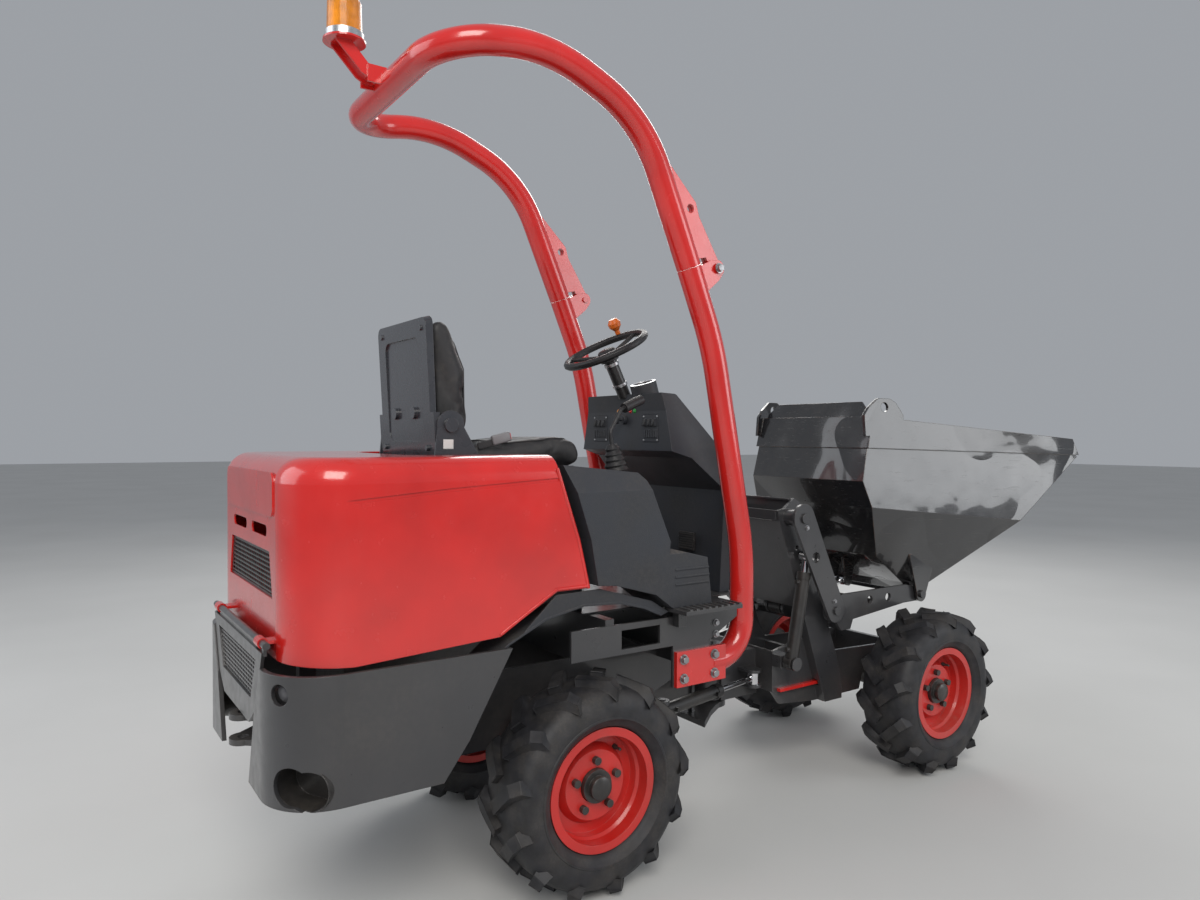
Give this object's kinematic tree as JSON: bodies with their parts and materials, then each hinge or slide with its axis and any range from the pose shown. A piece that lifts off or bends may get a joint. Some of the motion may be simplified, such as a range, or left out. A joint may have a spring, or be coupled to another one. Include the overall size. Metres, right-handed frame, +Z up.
{
  "type": "site dumper",
  "caption": "Articulated high-tip site dumper with a tipping skip on lift arms, rear engine bonnet, open driver station and folding roll hoop",
  "frame": {"origin": "centre of the footprint of the bounding box, on the ground", "axes": "+X forward (skip end), +Y to the driver's left, +Z up"},
  "size_m": [3.3669, 1, 2.4764],
  "materials": {
    "red_paint": "glossy bright red paint",
    "dark_paint": "satin anthracite paint",
    "skip_paint": "glossy black paint, dented",
    "plastic_dark": "grained dark plastic",
    "tyre": "black rubber",
    "seat_vinyl": "black vinyl",
    "seat_pan": "dark grey satin",
    "chrome": "polished rod",
    "amber": "clear amber",
    "silver": "satin",
    "orange": "glossy",
    "engine_iron": "painted casting",
    "black_steel": "black satin"
  },
  "bodies": {
    "rear_module": {"rear_chassis": "dark_paint", "rear_axle": "black_steel", "floor_plate": "dark_paint", "engine": "engine_iron", "bumper": "dark_paint", "radiator_guard": "dark_paint", "mudguards": "plastic_dark", "side_consoles": "plastic_dark", "seat_box": "plastic_dark", "steps": "dark_paint", "control_lever": "plastic_dark", "pedals": "black_steel", "seat_base": "seat_pan", "seat_cushion": "seat_vinyl", "seat_back": "seat_vinyl", "seat_shell": "seat_pan", "dash": "plastic_dark", "dash_controls": "plastic_dark", "steering_column": "black_steel", "rops_legs": "red_paint"},
    "steering_wheel": {"steering_wheel": "plastic_dark", "steering_knob": "orange"},
    "bonnet": {"bonnet": "red_paint", "bonnet_grille": "black_steel"},
    "rops_top": {"rops_hoop": "red_paint", "beacon_bracket": "red_paint", "beacon_base": "silver", "beacon_lens": "amber"},
    "front_module": {"front_chassis": "dark_paint", "front_axle": "black_steel", "lock_bar": "red_paint"},
    "lift_arms": {"lift_arms": "dark_paint"},
    "tie_links": {"tie_links": "dark_paint"},
    "skip_carrier": {"skip_carrier": "dark_paint"},
    "skip": {"skip": "skip_paint"},
    "lift_barrels": {"lift_barrels": "black_steel"},
    "lift_rods": {"lift_rods": "chrome"},
    "tilt_barrel": {"tilt_barrel": "black_steel"},
    "tilt_rod": {"tilt_rod": "chrome"},
    "steer_barrel": {"steer_barrel": "black_steel"},
    "steer_rod": {"steer_rod": "chrome"},
    "wheel_rl": {"tyre_rl": "tyre", "rim_rl": "red_paint", "hub_rl": "black_steel"},
    "wheel_rr": {"tyre_rr": "tyre", "rim_rr": "red_paint", "hub_rr": "black_steel"},
    "wheel_fl": {"tyre_fl": "tyre", "rim_fl": "red_paint", "hub_fl": "black_steel"},
    "wheel_fr": {"tyre_fr": "tyre", "rim_fr": "red_paint", "hub_fr": "black_steel"}
  },
  "joints": [
    {"name": "articulation", "type": "hinge", "parent": "rear_module", "child": "front_module", "pos_m": [-0.0375, 0, 0.39], "axis": [0, 0, 1], "range_deg": [-32, 32]},
    {"name": "steering_wheel_turn", "type": "hinge", "parent": "rear_module", "child": "steering_wheel", "pos_m": [-0.4965, 0, 1.558], "axis": [-0.4602, 0, 0.8878], "range_deg": [-650, 650]},
    {"name": "bonnet_lid", "type": "hinge", "parent": "rear_module", "child": "bonnet", "pos_m": [-1.6585, 0, 0.776], "axis": [0, -1, 0], "range_deg": [0, 60]},
    {"name": "rops_fold", "type": "hinge", "parent": "rear_module", "child": "rops_top", "pos_m": [-0.3525, 0, 1.784], "axis": [0, -1, 0], "range_deg": [-150, 0]},
    {"name": "lift", "type": "hinge", "parent": "front_module", "child": "lift_arms", "pos_m": [0.1795, 0, 0.975], "axis": [0, -1, 0], "range_deg": [0, 95]},
    {"name": "tie_link_swing", "type": "hinge", "parent": "front_module", "child": "tie_links", "pos_m": [0.2395, 0, 0.995], "axis": [0, -1, 0], "range_deg": [0, 95]},
    {"name": "carrier_level", "type": "hinge", "parent": "lift_arms", "child": "skip_carrier", "pos_m": [0.3545, 0, 0.625], "axis": [0, -1, 0], "range_deg": [-95, 0]},
    {"name": "skip_tip", "type": "hinge", "parent": "skip_carrier", "child": "skip", "pos_m": [0.8695, 0, 0.634], "axis": [0, 1, 0], "range_deg": [0, 66]},
    {"name": "lift_cylinder_swing", "type": "hinge", "parent": "front_module", "child": "lift_barrels", "pos_m": [0.1645, 0, 0.45], "axis": [0, -1, 0], "range_deg": [-3.46, 0.5]},
    {"name": "lift_rod_slide", "type": "slide", "parent": "lift_barrels", "child": "lift_rods", "axis": [0.1986, 0, 0.9801], "range_m": [0, 0.2322]},
    {"name": "tilt_cylinder_swing", "type": "hinge", "parent": "skip_carrier", "child": "tilt_barrel", "pos_m": [0.3395, 0, 0.598], "axis": [0, -1, 0], "range_deg": [0, 11]},
    {"name": "tilt_rod_slide", "type": "slide", "parent": "tilt_barrel", "child": "tilt_rod", "axis": [0.9821, 0, 0.1885], "range_m": [0, 0.1586]},
    {"name": "steer_cylinder_swing", "type": "hinge", "parent": "rear_module", "child": "steer_barrel", "pos_m": [-0.4345, -0.235, 0.385], "axis": [0, 0, 1], "range_deg": [-5.25, 5.25]},
    {"name": "steer_rod_slide", "type": "slide", "parent": "steer_barrel", "child": "steer_rod", "axis": [0.9779, 0.2093, 0], "range_m": [-0.0804, 0.0804]},
    {"name": "wheel_rl_spin", "type": "hinge", "parent": "rear_module", "child": "wheel_rl", "pos_m": [-0.8205, 0.385, 0.302], "axis": [0, 1, 0], "continuous": true},
    {"name": "wheel_rr_spin", "type": "hinge", "parent": "rear_module", "child": "wheel_rr", "pos_m": [-0.8205, -0.385, 0.302], "axis": [0, 1, 0], "continuous": true},
    {"name": "wheel_fl_spin", "type": "hinge", "parent": "front_module", "child": "wheel_fl", "pos_m": [0.7455, 0.385, 0.302], "axis": [0, 1, 0], "continuous": true},
    {"name": "wheel_fr_spin", "type": "hinge", "parent": "front_module", "child": "wheel_fr", "pos_m": [0.7455, -0.385, 0.302], "axis": [0, 1, 0], "continuous": true}
  ],
  "couplings": [
    {"joint": "steering_wheel_turn", "follows": "articulation", "ratio": 20},
    {"joint": "tie_link_swing", "follows": "lift", "ratio": 1},
    {"joint": "carrier_level", "follows": "lift", "ratio": -1},
    {"joint": "lift_cylinder_swing", "follows": "lift", "ratio": -0.03114},
    {"joint": "lift_rod_slide", "follows": "lift", "m_per_rad": 0.13941},
    {"joint": "tilt_cylinder_swing", "follows": "skip_tip", "ratio": 0.16219},
    {"joint": "tilt_rod_slide", "follows": "skip_tip", "m_per_rad": 0.13677},
    {"joint": "steer_cylinder_swing", "follows": "articulation", "ratio": 0.15469},
    {"joint": "steer_rod_slide", "follows": "articulation", "m_per_rad": 0.1422}
  ]
}
